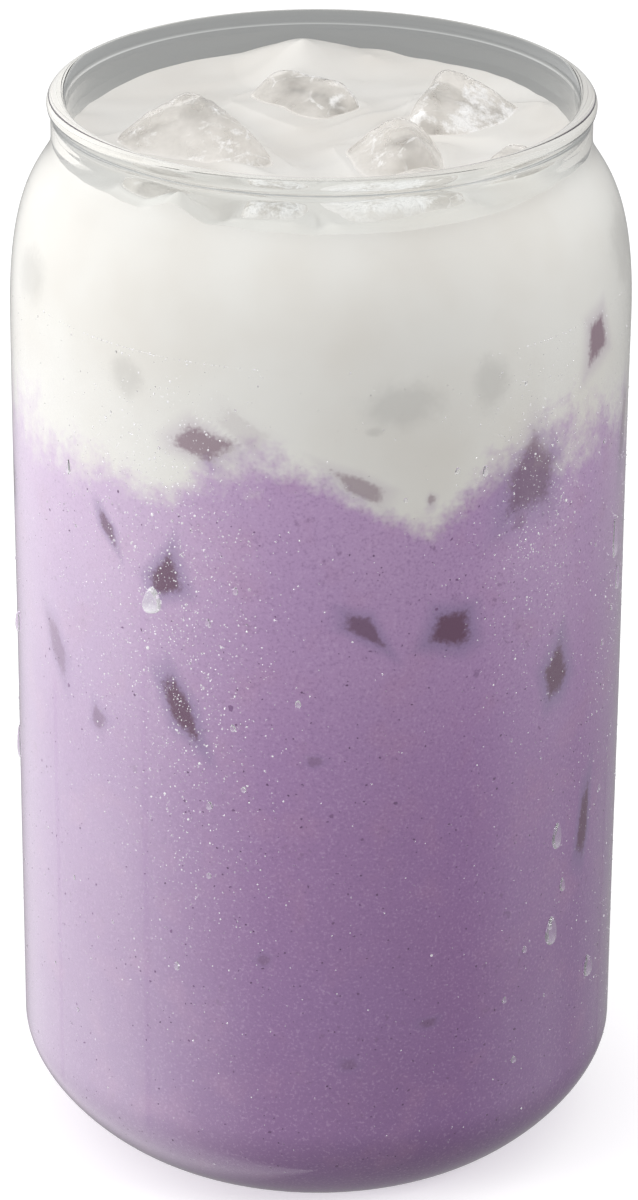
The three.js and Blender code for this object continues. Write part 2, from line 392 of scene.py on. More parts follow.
# Painted reflection, with the dew: the share of white round the glass.
dew_and_reflection_round = np.interp(angle_from(0, glass_grid), DEW_AND_REFLECTION_ANGLES, DEW_AND_REFLECTION_SHARES)
dew_and_reflection = dew_and_reflection_round * fog_low * fog_high * on_outside
glass = closed_rings("glass_tumbler", glass_grid)
paint(glass, "dew_and_reflection", np.append(dew_and_reflection[1:-1].ravel(), [0, 0]))
glass.data.materials.append(dewy_glass())
lamps_pass(glass)
belongs(glass, "clear_glass", "glass")


# The taro layer: mashed taro blended with milk, lilac and opaque, poured first and so the lower layer.
# Milk has sunk into it from above in tongues, and it fills the glass, so it has no face of its own
# against the wall: it reaches just into the glass. Ice sunk in it shows as dark shards, painted on as shade.
REACH = 0.12
TARO_LEVEL = 101.0
DRINK_STEPS = 384  # around the drink
FLOOR_SHARES = np.linspace(0, 1, 9)  # rings over a floor, as shares of the way to the wall
# Angle round the glass from the front, in degrees, half width in degrees, and rise.
TONGUES = [
    (-62, 20, -1.5), (-31, 7, -3.2), (-16, 9, 3.4), (20, 8, -6.4), (46, 16, 2), (98, 14, -4),
    (138, 18, 3), (180, 16, -5), (-142, 14, 2.5), (-106, 13, -4.5),
]
# Painted shade: clear ice against the wall sends little light back, so each shard is painted dark on the
# drink.
# Ice that leans on the glass from within: angle and height, half width and half height,
# the lean of its top to the right in degrees, and how dark it looks.
SHARDS = [
    (-23, 105.6, 3.2, 1.9, 10, 0.72), (-14, 108, 3.4, 1.2, 12, 0.14), (43.3, 99, 4.0, 4.6, 12, 0.72),
    (40, 93.3, 1.2, 1.0, 0, 0.35), (7.9, 100.9, 1.1, 3.2, -55, 0.55), (20.8, 98.8, 0.6, 0.7, 0, 0.5),
    (-29.8, 87.3, 2.1, 2.2, 12, 1.0), (-43.1, 91.7, 0.8, 2.4, -35, 0.8), (-59, 72.7, 1.6, 3.8, -22, 0.42),
    (-46.5, 65.9, 1.0, 1.5, -14, 0.45), (-26.8, 70.8, 1.5, 3.7, -32, 1.0), (8.5, 83.1, 1.2, 2.8, -45, 0.8),
    (25.3, 81.7, 2.3, 2.8, -8, 1.0), (50.8, 71.2, 2.2, 2.9, 24, 1.0), (62.5, 112.6, 2.0, 2.5, 6, 0.8),
    (62.3, 47.5, 1.1, 4.6, 4, 0.95), (79, 97.5, 1.6, 4.2, 8, 0.5), (-10, 38.3, 0.8, 0.9, 0, 0.35),
    (22, 28.6, 1.3, 0.7, 0, 0.4), (6.2, 23.9, 1.1, 0.8, 20, 0.3), (-0.6, 65.6, 1.0, 0.7, 0, 0.35),
    (96, 84, 2.4, 3.0, 15, 0.9), (124, 66, 2.0, 2.6, -20, 0.9), (151, 90, 2.6, 2.2, 30, 0.8),
    (176, 58, 1.9, 3.1, 8, 0.9), (-158, 79, 2.2, 2.7, -12, 0.9), (-128, 95, 2.8, 2.0, 20, 0.7),
    (-102, 61, 1.8, 3.0, -8, 0.9), (-86, 88, 2.1, 2.3, 24, 0.8), (136, 42, 1.4, 3.4, -25, 0.8),
    (-172, 36, 1.8, 2.2, 18, 0.8), (-118, 40, 1.6, 2.9, 14, 0.8),
]
# Ragged edge between the layers, as ripples: height, length and seed of each.
RAGGED = [(1.5, 12, 1), (0.9, 5.5, 2)]
# How soft that edge is: near the front, further aside, and at one blurred place.
SOFT_FRONT, SOFT_ASIDE, SOFT_BLUR = 1.5, 3.0, 1.6
SHARP_ANGLE, SHARP_WIDTH = -6, 30
BLUR_ANGLE, BLUR_WIDTH = -16, 10
# How much the taro is whitened by the angle round the glass: painted light, brighter on the left where light
# and its reflection fall.
LIT_SIDE_ANGLES = [-180, -120, -66, -40, -23, -8, 30, 90, 180]
LIT_SIDE_SHARES = [0.16, 0.24, 0.26, 0.19, 0.1, 0.03, 0.0, 0.03, 0.12]
# Ice near the wall within the milk only greys it, as painted shade: angle and height, half width and half
# height.
VEILED = [
    (15, 111, 4.6, 2.8), (10, 108, 1.2, 0.6), (33, 112, 2.4, 3.2), (-38, 112, 2.2, 2.4), (-70, 118, 4, 3),
    (80, 120, 5, 4), (125, 114, 4, 3), (-130, 117, 5, 3.5), (170, 115, 4, 4),
]
GRAIN = 0.5
# Clouds along the edge between the layers: size, detail, roughness and strength of each.
EDGE_CLOUDS = [(8, 4.0, 0.6, 3.6), (2, 2.0, 0.5, 1.2)]
EDGE_GRAIN = 0.7
EDGE_LOW, EDGE_HIGH = -1.35, 1.25  # all taro below, all milk above
# The drink's colours, as they show on a screen.
# The lilac deepens from the middle down to the foot: partly painted shade, where the light falls off low on
# the glass, and partly denser mash settled low.
LILAC_SHADED_FOOT, LILAC_MIDDLE, LILAC_CREST = (139, 103, 149), (155, 118, 165), (184, 152, 191)
LILAC_MIDDLE_HEIGHT = 70.0
CREST_START, CREST_END, CREST_SHARE = 52.0, 102.0, 0.9
LILAC_LIT_SIDE = (246, 240, 247)
LIT_SIDE_CLOUD, LIT_SIDE_SWING = 14.0, 0.4
CREAM_LIGHT, CREAM_WARM, CREAM_VEILED = (224, 222, 218), (217, 213, 207), (160, 157, 154)
CREAM_CLOUD = 16.0
VEIL_SHARE = 0.3
VEIL_CLOUD, VEIL_GRAIN = 3.0, 0.5
# Painted shade of the ice against the wall: a grey-blue haze about each shard, and its dark core.
HAZE_IN_TARO, HAZE_IN_MILK, HAZE_SHARE = (132, 116, 152), (182, 168, 182), 0.6
CORE_IN_TARO, CORE_IN_MILK = (106, 75, 99), (120, 89, 106)
CORE_GRAIN = 0.6
# Tints spread over the lilac by a noise: drifts, pinkish clouds, dark grains of mash and pale ones.
# Size, detail, where the noise starts and ends the tint, its strength and its colour.
TINTS = [
    (20, 3.0, -0.2, 0.25, 0.3, (150, 118, 168)), (6, 3.0, 0.0, 0.25, 0.35, (168, 128, 164)),
    (0.35, 2.0, 0.02, 0.22, 0.4, (130, 98, 142)), (0.35, 2.0, -0.04, -0.22, 0.3, (196, 168, 202)),
]
BITS_SIZE, BITS_FIELD = 1.5, 11.0  # blotches of mash, and the size of the fields that hold them
BITS_SHARE, BITS_COLOUR = 0.55, (122, 90, 130)

INNER_FLOOR_POINTS = 9  # at the end of the inside's outline
inner = inside_outline()[:-INNER_FLOOR_POINTS][::-1]


def inner_radius(z):
    """Radius of the glass's inside at a height, read along its outline."""
    return np.interp(z, inner[:, 1], inner[:, 0])


def bell(distance, width):
    """A bell curve, 1 at no distance, whose spread is the width."""
    return np.exp(-0.5 * (distance / width) ** 2)


def layer_height(points):
    """Height of the face between the layers: level, plus tongues that run out towards the axis."""
    outward = (np.hypot(points[..., 0], points[..., 1]) / (BODY_RADIUS - WALL)) ** 2
    rise = sum(rise * bell(angle_from(angle, points), width) for angle, width, rise in TONGUES)
    return TARO_LEVEL + outward * rise


def ripples(points, length, seed, count=7):
    """Smooth noise about 0: a sum of sine waves of about one length, in seeded directions."""
    random = np.random.default_rng(seed)
    ways = random.normal(size=(count, 3))
    ways *= (random.uniform(0.7, 1.4, count) / np.linalg.norm(ways, axis=1))[:, None]
    return np.sin(points @ ways.T * 2 * np.pi / length + random.uniform(0, 2 * np.pi, count)).mean(axis=-1)


def layer_rings(floor_height, top_height, wall_shares, top_shares):
    """Rings of a layer that fills the glass: over its floor, up the wall, and back over its top.
    A ring on the wall stands at a share of the way from floor to top, each a function of the place;
    its radius is the glass's inside at that height, plus the reach into the wall."""
    share = np.concatenate([FLOOR_SHARES, np.ones(len(wall_shares)), top_shares[::-1]])[:, None]
    rise = np.concatenate([0 * FLOOR_SHARES, wall_shares, 0 * top_shares + 1])[:, None]
    turn = around(DRINK_STEPS)
    grid = swept(share * (BODY_RADIUS - WALL), 0.0, turn)
    for _ in range(4):
        z = floor_height(grid) * (1 - rise) + top_height(grid) * rise
        grid = swept(share * (inner_radius(z) + REACH), z, turn)
    return grid


def wall_place(points, angle, height, lean=0.0):
    """Millimetres along the wall from a place on it, across and up, turned so that up leans to the right."""
    across = np.radians(angle_from(angle, points)) * (BODY_RADIUS - WALL)
    up = points[..., 2] - height
    cos, sin = np.cos(np.radians(lean)), np.sin(np.radians(lean))
    return across * cos - up * sin, across * sin + up * cos


def shard_depth(points, angle, height, half_width, half_height, lean, seed):
    """How deep a point lies within a shard, 1 at its middle and 0 at its edge. The shard is a polygon of
    four or five seeded sides: the way out is the greatest, over the sides, of the way towards that side."""
    random = np.random.default_rng(seed)
    sides = random.integers(4, 6)
    facing = (np.arange(sides) + random.uniform(-0.3, 0.3, sides)) * 2 * np.pi / sides + random.uniform(0, 6)
    distance = random.uniform(0.85, 1.2, sides)
    across, up = wall_place(points, angle, height, lean)
    towards = np.multiply.outer(across / half_width, np.cos(facing))
    towards += np.multiply.outer(up / half_height, np.sin(facing))
    return 1 - (towards / distance).max(axis=-1)


def paint_layers(piece):
    """Paints on each point its height over the face between the layers, in units of the softness of the
    edge, how deep it lies within a shard of ice, how dark that shard is painted as shade, how much the taro
    is whitened as painted light, and how much ice greys the milk as painted shade."""
    points = points_of(piece)
    ragged = sum(height * ripples(points, length, seed) for height, length, seed in RAGGED)
    aside = np.clip((np.abs(angle_from(SHARP_ANGLE, points)) - SHARP_WIDTH) / SHARP_WIDTH, 0, 1)
    blurred = bell(angle_from(BLUR_ANGLE, points), BLUR_WIDTH)
    softness = SOFT_FRONT + SOFT_ASIDE * aside + SOFT_BLUR * blurred
    paint(piece, "layer", (points[:, 2] - layer_height(points) + ragged) / softness)
    depth = np.full(len(points), -1.5)
    dark = np.zeros(len(points))
    for seed, (*shape, darkness) in enumerate(SHARDS):
        here = shard_depth(points, *shape, seed)
        dark = np.where(here > depth, darkness, dark)
        depth = np.maximum(depth, here)
    paint(piece, "shard", depth)
    paint(piece, "whitening", np.interp(angle_from(0, points), LIT_SIDE_ANGLES, LIT_SIDE_SHARES))
    paint(piece, "dark", dark)
    veil = np.zeros(len(points))
    for angle, height, half_width, half_height in VEILED:
        across, up = wall_place(points, angle, height)
        veil = np.maximum(veil, np.clip(1.5 - np.hypot(across / half_width, up / half_height), 0, 1))
    paint(piece, "veil", veil)


def drink_finish(name, wet):
    """The drink's colour: lilac below, deeper towards the floor, partly as painted shade, paler where it is
    painted with light, and white above, mixed along a cloudy edge. Shards of ice are painted dark as shade,
    with a grey-blue haze about them, and veils of painted shade grey the white. Against the wall the drink
    has no gloss of its own; its open face is wet."""
    material, tree, place = new_finish(name)
    layer, shard, dark = (painted(tree, attribute) for attribute in ("layer", "shard", "dark"))
    grain = noise(tree, place, GRAIN)
    edge = layer + grain * EDGE_GRAIN
    for size, detail, rough, strength in EDGE_CLOUDS:
        edge = edge + noise(tree, place, size, detail, rough) * strength
    milk_share = edge.step(EDGE_LOW, EDGE_HIGH)
    height = place.part("Z")
    # Painted shade, in part: the lilac darker towards the floor.
    middle = height.step(0.0, LILAC_MIDDLE_HEIGHT * MM)
    lilac = mixed(tree, middle, linear(*LILAC_SHADED_FOOT), linear(*LILAC_MIDDLE))
    crest = height.step(CREST_START * MM, CREST_END * MM) * CREST_SHARE
    lilac = mixed(tree, crest, lilac, linear(*LILAC_CREST))
    for size, detail, start, end, strength, tint in TINTS:
        spread = noise(tree, place, size, detail).step(start, end)
        lilac = mixed(tree, spread * strength, lilac, linear(*tint))
    bits = noise(tree, place, BITS_SIZE, 4.0, 0.65).step(0.1, 0.2)
    bits = bits * noise(tree, place, BITS_FIELD).step(-0.04, 0.12)
    lilac = mixed(tree, bits * BITS_SHARE, lilac, linear(*BITS_COLOUR))
    warm = noise(tree, place, CREAM_CLOUD, 3.0).step(-0.2, 0.25)
    cream = mixed(tree, warm, linear(*CREAM_LIGHT), linear(*CREAM_WARM))
    # Painted shade: ice behind the milk greys it.
    veil = painted(tree, "veil") + grain * VEIL_GRAIN + noise(tree, place, VEIL_CLOUD, 3.0)
    veil = veil.step(0.1, 1.1)
    cream = mixed(tree, veil * VEIL_SHARE, cream, linear(*CREAM_VEILED))
    # Painted light: the lilac whitens towards the left, as light and reflection from that side would make it.
    whitening = painted(tree, "whitening") * (1 + noise(tree, place, LIT_SIDE_CLOUD, 3.0) * LIT_SIDE_SWING)
    lilac = mixed(tree, whitening, lilac, linear(*LILAC_LIT_SIDE))
    colour = mixed(tree, milk_share, lilac, cream)
    # Painted shade: the shards and their haze.
    haze = shard.step(-0.9, 0.2) * dark * HAZE_SHARE
    haze_colour = mixed(tree, milk_share, linear(*HAZE_IN_TARO), linear(*HAZE_IN_MILK))
    colour = mixed(tree, haze, colour, haze_colour)
    core = (shard + grain * CORE_GRAIN).step(-0.05, 0.45) * dark
    core_colour = mixed(tree, milk_share, linear(*CORE_IN_TARO), linear(*CORE_IN_MILK))
    colour = mixed(tree, core, colour, core_colour)
    rough, shine = (0.28, 0.5) if wet else (0.7, 0.0)
    end_finish(tree, principled(tree, Base_Color=colour, Roughness=rough, IOR=1.35, Specular_IOR_Level=shine))
    return material


def shares(*stretches):
    """Shares from 0 upwards: each stretch is where it ends and how many steps it takes."""
    ends = [0.0] + [end for end, _ in stretches]
    rows = [np.linspace(low, high, steps + 1)[1:] for low, (high, steps) in zip(ends, stretches)]
    return np.concatenate(rows)


WALL_CREASE = 50  # degrees, past which an edge shows
TARO_WALL = [(0.12, 24), (0.6, 60), (1, 70)]  # rings up the wall: where each stretch ends, and its steps
wall_finish = drink_finish("drink against the glass", wet=False)
taro_floor = BASE_THICKNESS - REACH
taro = closed_rings("taro_layer", layer_rings(
    lambda points: taro_floor, layer_height, shares(*TARO_WALL)[:-1], FLOOR_SHARES))
taro.data.materials.append(wall_finish)
taro.data.set_sharp_from_angle(angle=np.radians(WALL_CREASE))
paint_layers(taro)
belongs(taro, "taro_drink", "taro")


# Flecks: bits of taro skin and mash that the mixing left, flat and mauve, up to a millimetre long.
# They float in the taro, and those that lie against the glass show.
FLECKS = 2600
FLECK_SIZE, FLECK_SPREAD = 0.1, 0.5  # usual half length, and the spread of its logarithm
FLECK_LEAST, FLECK_MOST = 0.05, 0.7
FLECK_BULGE = 0.03
PALER_FROM, PALER_OVER, PALER_SHARE = 0.12, 0.2, 0.6  # bigger flecks are paler
TONE_SPREAD = 0.5
FLECK_CORNERS = 7
FLECK_CREASE = 30
FLECK_LOW, FLECK_HIGH = 7.0, 97.0
FLECK_PROFILE = [(0, -1), (1, -1), (0.9, 1), (0, 1)]  # share of the way out, and share of the thickness


def on_wall(radius_at, angle, height, across, up, out):
    """Points near a wall, whose radius is a function of height: across, up and out of it from a place."""
    z = height + up
    return swept(radius_at(z) + out, z, np.radians(angle) + across / radius_at(z))


def wall_beads(name, radius_at, angle, height, half_width, half_height, bulge, profile, outline,
               lean=0.0, tear=0.0):
    """Many small round things on a wall, joined. Each is rings at the profile's shares of the way out, which
    stand off the wall by its shares of the bulge. The outline gives each thing's reach at each step around.
    A tear narrows and thins a thing towards its top."""
    angle, height, half_width, half_height, bulge, lean = (
        np.broadcast_to(value, len(angle))[:, None, None]
        for value in (angle, height, half_width, half_height, bulge, np.radians(lean)))
    share, stand = np.array(profile, float).T[:, None, :, None]
    turn = around(outline.shape[1])
    reach = share * outline[:, None, :]
    up_share = reach * np.sin(turn)
    narrow = 1 - tear * up_share
    across, up = half_width * reach * np.cos(turn) * narrow, half_height * up_share
    across, up = across * np.cos(lean) + up * np.sin(lean), up * np.cos(lean) - across * np.sin(lean)
    out = np.where(stand > 0, stand * bulge * narrow, stand * bulge)
    points = ring_points(on_wall(radius_at, angle, height, across, up, out))
    first = (np.arange(len(points)) * points.shape[1])[:, None, None]
    groups = ring_faces(len(profile) - 2, outline.shape[1])
    joined = [(group + first).reshape(-1, group.shape[1]) for group in groups]
    return piece_from(name, points.reshape(-1, 3), *joined)


def fleck_finish():
    """Wet taro skin: from dark to light mauve by the tone painted on each fleck."""
    material, tree, place = new_finish("taro flecks")
    tone = (painted(tree, "tone") + noise(tree, place, 0.5) * 0.3).clamped()
    colour = mixed(tree, tone, linear(84, 58, 90), linear(136, 102, 144))
    end_finish(tree, principled(tree, Base_Color=colour, Roughness=0.6, Specular_IOR_Level=0.0))
    return material


random = np.random.default_rng(11)
fleck_size = np.exp(random.normal(np.log(FLECK_SIZE), FLECK_SPREAD, FLECKS)).clip(FLECK_LEAST, FLECK_MOST)
fleck_outline = random.uniform(0.55, 1.2, (FLECKS, FLECK_CORNERS))
fleck_angle = random.uniform(-180, 180, FLECKS)
fleck_height = random.uniform(FLECK_LOW, FLECK_HIGH, FLECKS)
fleck_width = fleck_size * random.uniform(0.35, 0.9, FLECKS)
fleck_lean = random.uniform(-90, 90, FLECKS)
flecks = wall_beads("taro_flecks", lambda z: inner_radius(z) + REACH, fleck_angle, fleck_height, fleck_size,
                    fleck_width, FLECK_BULGE, FLECK_PROFILE, fleck_outline, fleck_lean)
fleck_pale = np.clip((fleck_size - PALER_FROM) / PALER_OVER, 0, 1) * PALER_SHARE
fleck_tone = fleck_pale + random.uniform(0.0, TONE_SPREAD, FLECKS)
paint(flecks, "tone", np.repeat(fleck_tone, len(flecks.data.vertices) // FLECKS))
flecks.data.materials.append(fleck_finish())
flecks.data.set_sharp_from_angle(angle=np.radians(FLECK_CREASE))
belongs(flecks, "taro_drink")


# Ice cubes: clear tray ice, melted to rounded edges and uneven faces, afloat in the milk.
# Each stands where its solid stands; only its corner shows above the milk.
# Name, size, tilt in degrees, crispness of its edges, the way that its frosted face looks, and its frost.
ICE = [
    ("ice_left", (22, 16, 13), (32, -16, -53), 5.0, (-0.27, -0.51, 0.82), 0.34),
    ("ice_back", (14, 14, 13), (22, -21, -41), 7.0, (0.6, 0.7, 0.4), 0.9),
    ("ice_right_back", (15, 13, 15), (20, 24, -18), 7.0, (0.9, -0.5, 0.2), 0.85),
    ("ice_right_front", (14.5, 12, 13), (12, -36, 8), 4.5, (-0.8, -0.4, 0.6), 0.3),
    ("ice_left_front", (8, 6, 8), (6, 10, -48), 5.0, (0, 0, 1), 0.1),
    ("ice_front", (8.4, 7, 10), (4, 6, -10), 3.6, (0, -0.5, 1), 0.5),
    ("ice_front_right", (18, 10.5, 13), (8, -6, 22), 5.0, (-0.6, -0.6, 0.6), 0.8),
    ("ice_right", (7.2, 6.6, 9), (6, 8, 64), 5.0, (0, 0, 1), 0.2),
]
ICE_MELT = 0.055
ICE_DENTS = [(0.03, 6.5, 20), (0.016, 2.6, 40)]  # depth as a share, length and first seed
ICE_STEPS, ICE_RINGS = 112, 74
POCKET_STEPS, POCKET_RINGS = 84, 54
POCKET_LAP = 0.2  # the milk reaches this far into the ice, so that no gap shows
# Light comes back from this deep in the milk, from a nearly flat floor.
POCKET_DEPTH, POCKET_FLOOR = 1.5, 0.08
MILK_LEVEL = 130.8
FILM_HEIGHT = 1.8  # a film of milk whitens a cube up to this far above the milk
# Partly frost, partly a painted highlight for the glints along the edges.
RIDGE_FROST_AND_GLINT = 0.75
CRACK_CELL, CRACK_WIDTH = 6.0, 0.03  # size of the plates between cracks, and a crack's share of it
ICE_CLOUD, ICE_CLOUD_SWING = 0.38, 0.7  # how cloudy the ice is, and how much that changes
FROST_WHITE, CRACK_WHITE, FILM_WHITE = 0.8, 0.5, 0.65  # how well each covers the ice


def turned(tilt):
    """A rotation about Z, then Y, then X, as a matrix."""
    (a, b, c) = np.radians(tilt)
    about_x = np.array([[1, 0, 0], [0, np.cos(a), -np.sin(a)], [0, np.sin(a), np.cos(a)]])
    about_y = np.array([[np.cos(b), 0, np.sin(b)], [0, 1, 0], [-np.sin(b), 0, np.cos(b)]])
    about_z = np.array([[np.cos(c), -np.sin(c), 0], [np.sin(c), np.cos(c), 0], [0, 0, 1]])
    return about_x @ about_y @ about_z


def ice_rings(size, crisp, seed, shrink=0.0, steps=ICE_STEPS, rings=ICE_RINGS):
    """Rings of a melted cube about its own middle: the direction of each point, drawn out to where its
    coordinates over the half sides, each to the power crisp, add up to 1; then dented by slow and quick
    waves."""
    across, up = np.meshgrid(around(steps), np.linspace(0, np.pi, rings))
    way = np.stack([np.sin(up) * np.cos(across), np.sin(up) * np.sin(across), -np.cos(up)], axis=-1)
    half = np.array(size) / 2 - shrink
    point = way / (np.abs(way / half) ** crisp).sum(axis=-1, keepdims=True) ** (1 / crisp)
    x, y, z = point[..., 0], point[..., 1], point[..., 2]
    melt = np.sin(0.42 * x + 1.7 * seed) * np.sin(0.37 * y + 2.3 * seed) + np.sin(0.31 * z - 0.9 * seed)
    dents = sum(depth * ripples(point, length, first + seed) for depth, length, first in ICE_DENTS)
    return point * (1 - ICE_MELT * (0.5 + 0.5 * melt) + dents)[..., None]


def smooth(value, low, high):
    """0 below low, 1 above high, and a smooth rise between."""
    t = np.clip((value - low) / (high - low), 0, 1)
    return t * t * (3 - 2 * t)


def ice_frost(local, half, rotation, facing, share):
    """Where a cube is frosted: along its ridges, where two coordinates are both near their half sides,
    and over the face that looks one way. Along the ridges the white is partly frost and partly painted glint."""
    ridge = smooth(np.sort(np.abs(local / half), axis=1)[:, 1], 0.7, 0.95)
    outward = (local / half) ** 3 @ rotation.T
    outward /= np.linalg.norm(outward, axis=1, keepdims=True)
    face = smooth(outward @ (np.array(facing) / np.linalg.norm(facing)), 0.45, 0.8)
    return np.maximum(RIDGE_FROST_AND_GLINT * ridge, face) * share


def ice_finish():
    """Wet clear ice, clouded in places. Cracks run between its plates, crumbs and patches frost it white
    where it is painted so, partly as painted glints along the ridges, and where it leaves the milk a thin
    film whitens it."""
    material, tree, place = new_finish("clear ice")
    crumbs = noise(tree, place, 0.9, 3.0, 0.6) + noise(tree, place, 4, 2.0) * 1.3
    frost = (painted(tree, "frost") + crumbs).step(0.35, 0.75)
    film = (painted(tree, "film") + noise(tree, place, 2.5, 2.0) * 0.8).step(0.3, 1.0)
    dents = bumped(tree, noise(tree, place, 1.7, 2.0), 0.14)
    rough = bumped(tree, noise(tree, place, 0.6, 2.0), 0.5)
    edges = Wire.node(tree, "ShaderNodeTexVoronoi", {"feature": "DISTANCE_TO_EDGE"},
                      {"Vector": place, "Scale": 1 / (CRACK_CELL * MM)}, "Distance")
    edges = edges + noise(tree, place, 1.4) * 0.16
    crack = (1 - edges.step(0.0, CRACK_WIDTH)) * noise(tree, place, 4).step(-0.05, 0.12)
    clear = principled(tree, Base_Color=linear(250, 247, 244), Roughness=0.02, IOR=1.24,
                       Transmission_Weight=1.0, Normal=dents)
    cloudy = principled(tree, Base_Color=linear(232, 228, 223), Roughness=0.12, IOR=1.31, Normal=dents)
    white = principled(tree, Base_Color=linear(244, 243, 242), Roughness=0.15, IOR=1.31, Normal=rough)
    whitening = principled(tree, Base_Color=linear(222, 219, 215), Roughness=0.3, IOR=1.35)
    body = blended(tree, ICE_CLOUD + noise(tree, place, 3, 2.0) * ICE_CLOUD_SWING, clear, cloudy)
    frosted = blended(tree, (frost * FROST_WHITE + crack * CRACK_WHITE).clamped(), body, white)
    end_finish(tree, blended(tree, film * FILM_WHITE, frosted, whitening))
    return material


ice_material = ice_finish()
pockets = []
ice_boxes = []
for seed, (name, size, tilt, crisp, facing, frosted) in enumerate(ICE, 1):
    low, high = (np.array(corner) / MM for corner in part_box(name))
    rotation = turned(tilt)
    half = np.array(size) / 2
    local = ice_rings(size, crisp, seed)
    grid = local @ rotation.T
    corner_low, corner_high = grid.min(axis=(0, 1)), grid.max(axis=(0, 1))
    middle = (low + high - corner_low - corner_high) / 2
    middle[2] = high[2] - corner_high[2]
    cube = closed_rings(name + "_cube", grid + middle)
    paint(cube, "frost", ice_frost(ring_points(local), half, rotation, facing, frosted))
    paint(cube, "film", 1 - smooth(ring_points(grid + middle)[:, 2] - MILK_LEVEL, 0.0, FILM_HEIGHT))
    cube.data.materials.append(ice_material)
    lamps_pass(cube)
    belongs(cube, "clear_ice", name)
    pocket_grid = ice_rings(size, crisp, seed, POCKET_LAP, POCKET_STEPS, POCKET_RINGS) @ rotation.T + middle
    below = np.clip(MILK_LEVEL - POCKET_DEPTH - pocket_grid[..., 2], 0, None)
    pocket_grid[..., 2] += below * (1 - POCKET_FLOOR)
    pockets.append(closed_rings(name + "_pocket", pocket_grid))
    ice_boxes.append((middle, rotation, half))


# The milk: poured last, white and opaque, so it floats on the taro and hangs into it in tongues.
# It fills the neck to a little below the rim, climbs the wall and the ice a little, and clings in peaks
# to ice just under its surface.
MILK_RISE = 0.04
MENISCUS_HEIGHT, MENISCUS_WIDTH = 0.7, 2.5
PEAK_SHARPNESS = 1.4
# Place, height and half width of each peak.
PEAKS = [(-2.3, 25, 4, 9), (-16, -24.3, 3, 5), (6, 26, 1.4, 5)]
# Middle of each ridge between the cubes, its turn in degrees, half length, half width and height.
RIDGES = [
    (5.5, 6.6, 42, 5, 0.7, 0.9), (8.2, 3.6, 40, 4.5, 0.6, 0.7), (-9, -12, -40, 5, 0.8, 0.6),
    (-21, 8, 70, 5, 0.9, 0.5),
]
MILK_RIPPLES = [(0.35, 14, 70), (0.2, 5, 71)]  # height, length and seed
ICE_CLIMB, ICE_CLIMB_WIDTH = 0.9, 1.1
ICE_ROUNDING = 1.5  # of the cubes' edges, for the climb
MILK_WALL = [(0.3, 24), (1, 50)]  # rings up the wall: where each stretch ends, and its steps
MILK_TOP = [(0.9, 76), (1, 16)]  # rings over the top, likewise
TOP_SLOPE, TOP_DEPTH = 0.3, 4.0  # a face is wet if it looks up by more than this, within this of the level


def milk_height(points):
    """Height of the milk: a slight slope, a meniscus at wall and ice, peaks, ridges and ripples."""
    x, y = points[..., 0], points[..., 1]
    height = MILK_LEVEL + MILK_RISE * y
    height = height + MENISCUS_HEIGHT * bell(NECK_RADIUS - WALL - np.hypot(x, y), MENISCUS_WIDTH)
    for at_x, at_y, peak, width in PEAKS:
        near = np.clip(1 - np.hypot(x - at_x, y - at_y) / width, 0, 1)
        height = height + peak * near**PEAK_SHARPNESS
    for at_x, at_y, turn, half_length, half_width, rise in RIDGES:
        cos, sin = np.cos(np.radians(turn)), np.sin(np.radians(turn))
        along, across = (x - at_x) * cos + (y - at_y) * sin, (y - at_y) * cos - (x - at_x) * sin
        height = height + rise * bell(along, half_length) * bell(across, half_width)
    flat = np.stack([x, y, 0 * x], axis=-1)
    height = height + sum(rise * ripples(flat, length, seed) for rise, length, seed in MILK_RIPPLES)
    near_ice = np.zeros_like(x)
    for middle, rotation, half in ice_boxes:
        local = (np.stack([x, y, 0 * x + MILK_LEVEL], axis=-1) - middle) @ rotation
        beyond = np.linalg.norm(np.clip(np.abs(local) - half + ICE_ROUNDING, 0, None), axis=-1) - ICE_ROUNDING
        near_ice = np.maximum(near_ice, np.exp(-np.clip(beyond, 0, None) / ICE_CLIMB_WIDTH))
    return height + ICE_CLIMB * near_ice


open_finish = drink_finish("milk surface", wet=True)
milk = closed_rings("milk_layer", layer_rings(
    layer_height, milk_height, shares(*MILK_WALL)[:-1], np.concatenate([[0], shares(*MILK_TOP)])))
for pocket in pockets:
    cut = milk.modifiers.new(pocket.name, "BOOLEAN")
    cut.operation = "DIFFERENCE"
    cut.solver = "MANIFOLD"
    cut.object = pocket
cut_mesh = bpy.data.meshes.new_from_object(milk.evaluated_get(bpy.context.evaluated_depsgraph_get()))
milk.modifiers.clear()
milk.data = cut_mesh
for pocket in pockets:
    bpy.data.objects.remove(pocket)
milk.data.materials.clear()
milk.data.materials.append(wall_finish)
milk.data.materials.append(open_finish)
facing = np.empty(3 * len(milk.data.polygons), np.float32)
milk.data.polygons.foreach_get("normal", facing)
middles = np.empty(3 * len(milk.data.polygons), np.float32)
milk.data.polygons.foreach_get("center", middles)
looks_up = facing.reshape(-1, 3)[:, 2] > TOP_SLOPE
is_top = looks_up & (middles.reshape(-1, 3)[:, 2] > (MILK_LEVEL - TOP_DEPTH) * MM)
milk.data.polygons.foreach_set("material_index", is_top.astype(np.int32))
milk.data.shade_smooth()
milk.data.set_sharp_from_angle(angle=np.radians(WALL_CREASE))
paint_layers(milk)
belongs(milk, "white_milk", "milk")


